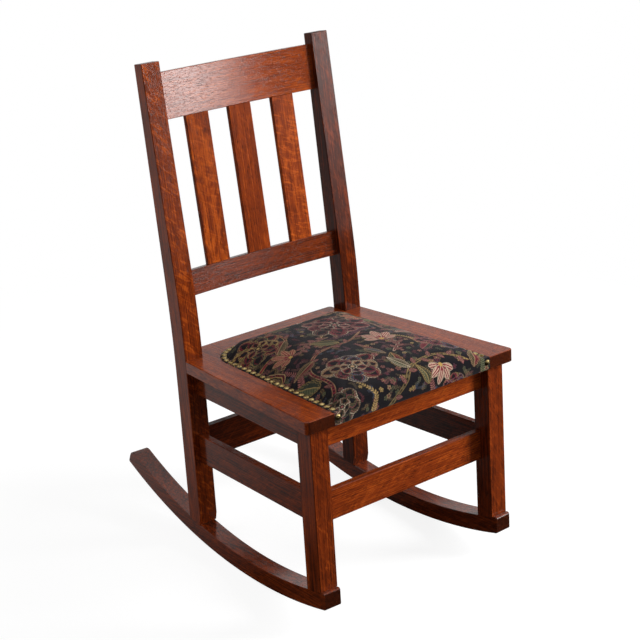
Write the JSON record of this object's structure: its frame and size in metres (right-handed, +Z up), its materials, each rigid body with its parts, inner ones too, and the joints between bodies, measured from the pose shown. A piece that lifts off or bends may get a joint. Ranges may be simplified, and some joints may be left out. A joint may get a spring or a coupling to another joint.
{
  "type": "rocking chair",
  "caption": "Armless wooden rocking chair with curved runners, a bowed slat back and a webbed, stuffed seat under a nailed tapestry cover.",
  "frame": {"origin": "floor level under the middle of the chair's outline, with the chair at rest on its runners", "axes": "+Z up; -Y is the way the sitter faces, so +Y runs from front to back; X across the chair, with -X on the left in the node names"},
  "size_m": [0.4428, 0.6126, 0.8426],
  "materials": {
    "oak": "gloss lacquer over a reddish-brown stain",
    "oak_inside": "oiled",
    "cover": "woven tapestry, dark ground",
    "jute": "woven",
    "hessian": "woven",
    "brass": "antiqued",
    "steel": "dull"
  },
  "bodies": {
    "root": {"back_post_left": "oak", "back_post_right": "oak", "back_seat_rail": "oak", "back_slat_centre": "oak", "back_slat_left": "oak", "back_slat_right": "oak", "back_stretcher": "oak", "corner_block_back_left": "oak_inside", "corner_block_back_right": "oak_inside", "corner_block_front_left": "oak_inside", "corner_block_front_right": "oak_inside", "cover_hem": "cover", "cover_nails": "brass", "crest_rail": "oak", "frame_screws": "steel", "front_leg_left": "oak", "front_leg_right": "oak", "front_seat_rail": "oak", "front_stretcher": "oak", "lower_back_rail": "oak", "runner_dowels": "oak_inside", "runner_left": "oak", "runner_right": "oak", "seat_back_member": "oak", "seat_front_member": "oak", "seat_hessian": "hessian", "seat_pad": "cover", "seat_side_member_left": "oak", "seat_side_member_right": "oak", "seat_webbing": "jute", "side_seat_rail_left": "oak", "side_seat_rail_right": "oak", "side_stretcher_left": "oak", "side_stretcher_right": "oak"}
  },
  "joints": []
}
